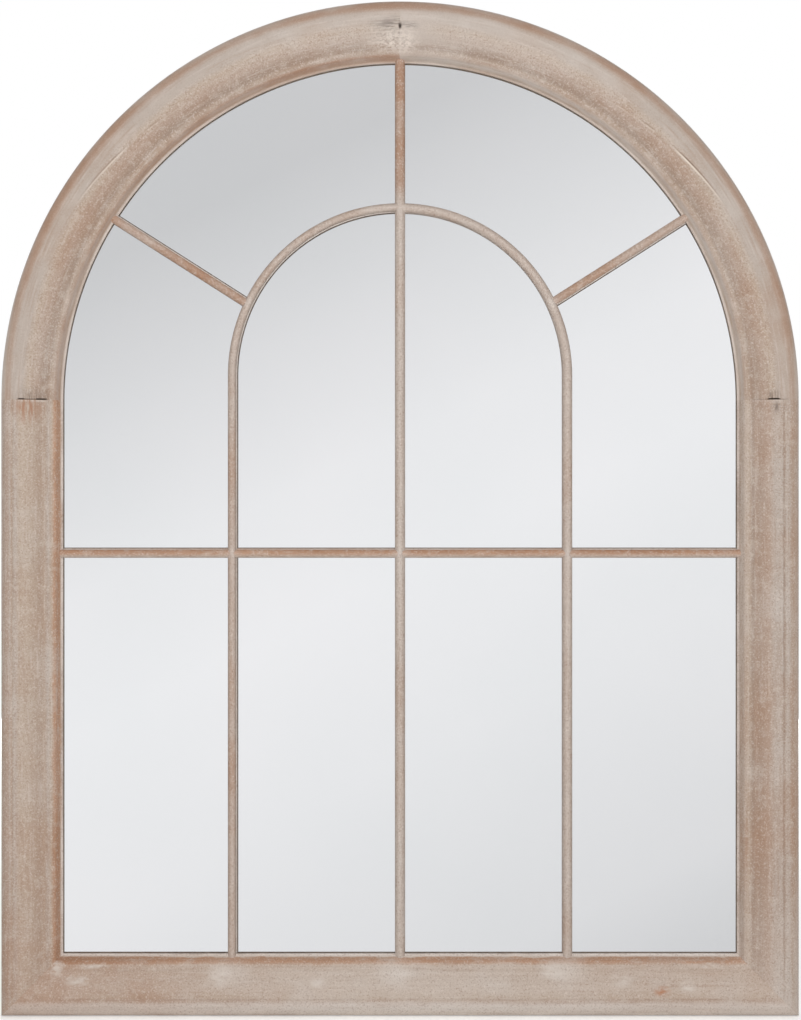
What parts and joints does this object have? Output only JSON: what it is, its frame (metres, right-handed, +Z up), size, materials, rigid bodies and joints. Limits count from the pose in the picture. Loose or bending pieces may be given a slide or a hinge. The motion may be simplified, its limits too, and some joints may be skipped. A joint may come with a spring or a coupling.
{
  "type": "window mirror",
  "caption": "Arched wall mirror that looks like a window: a limed wooden moulding holds one silvered glass behind glazing bars with an inner arch and rays, hung by rings at the back.",
  "frame": {"origin": "on the wall plane, midway between the two wall hooks that carry the rings", "axes": "+Z up, +Y into the wall so that the mirror looks towards -Y, +X to the viewer's right"},
  "size_m": [0.7, 0.032, 0.89],
  "materials": {
    "frame": "limed softwood, pale wash rubbed back to brown on the edges",
    "bars": "limed softwood, thinner wash than on the frame",
    "beech": "bare beech",
    "mirror": "silvered float glass",
    "panel": "bare hardboard",
    "zinc": "bright zinc plate",
    "rubber": "matt"
  },
  "bodies": {
    "mirror": {"crown_dowels": "beech", "left_spring_dowels": "beech", "right_spring_dowels": "beech", "left_mitre_biscuit": "beech", "right_mitre_biscuit": "beech", "panel_screws": "zinc", "hanger_screws": "zinc", "bottom_rail": "frame", "left_stile": "frame", "left_arch": "frame", "right_stile": "frame", "right_arch": "frame", "centre_bar": "bars", "left_side_bar": "bars", "right_side_bar": "bars", "cross_bar": "bars", "left_inner_arch_bar": "bars", "left_ray_bar": "bars", "right_inner_arch_bar": "bars", "right_ray_bar": "bars", "mirror_glass": "mirror", "back_panel": "panel", "left_hanger_strap": "zinc", "left_wall_bumper": "rubber", "right_hanger_strap": "zinc", "right_wall_bumper": "rubber"},
    "left_ring": {"left_hanger_ring": "zinc"},
    "right_ring": {"right_hanger_ring": "zinc"}
  },
  "joints": [
    {"name": "left_ring_swing", "type": "hinge", "parent": "mirror", "child": "left_ring", "pos_m": [-0.32281, -0.00375, -0.0135], "axis": [-1, 0, 0], "range_deg": [0, 177]},
    {"name": "right_ring_swing", "type": "hinge", "parent": "mirror", "child": "right_ring", "pos_m": [0.32281, -0.00375, -0.0135], "axis": [-1, 0, 0], "range_deg": [0, 177]}
  ]
}
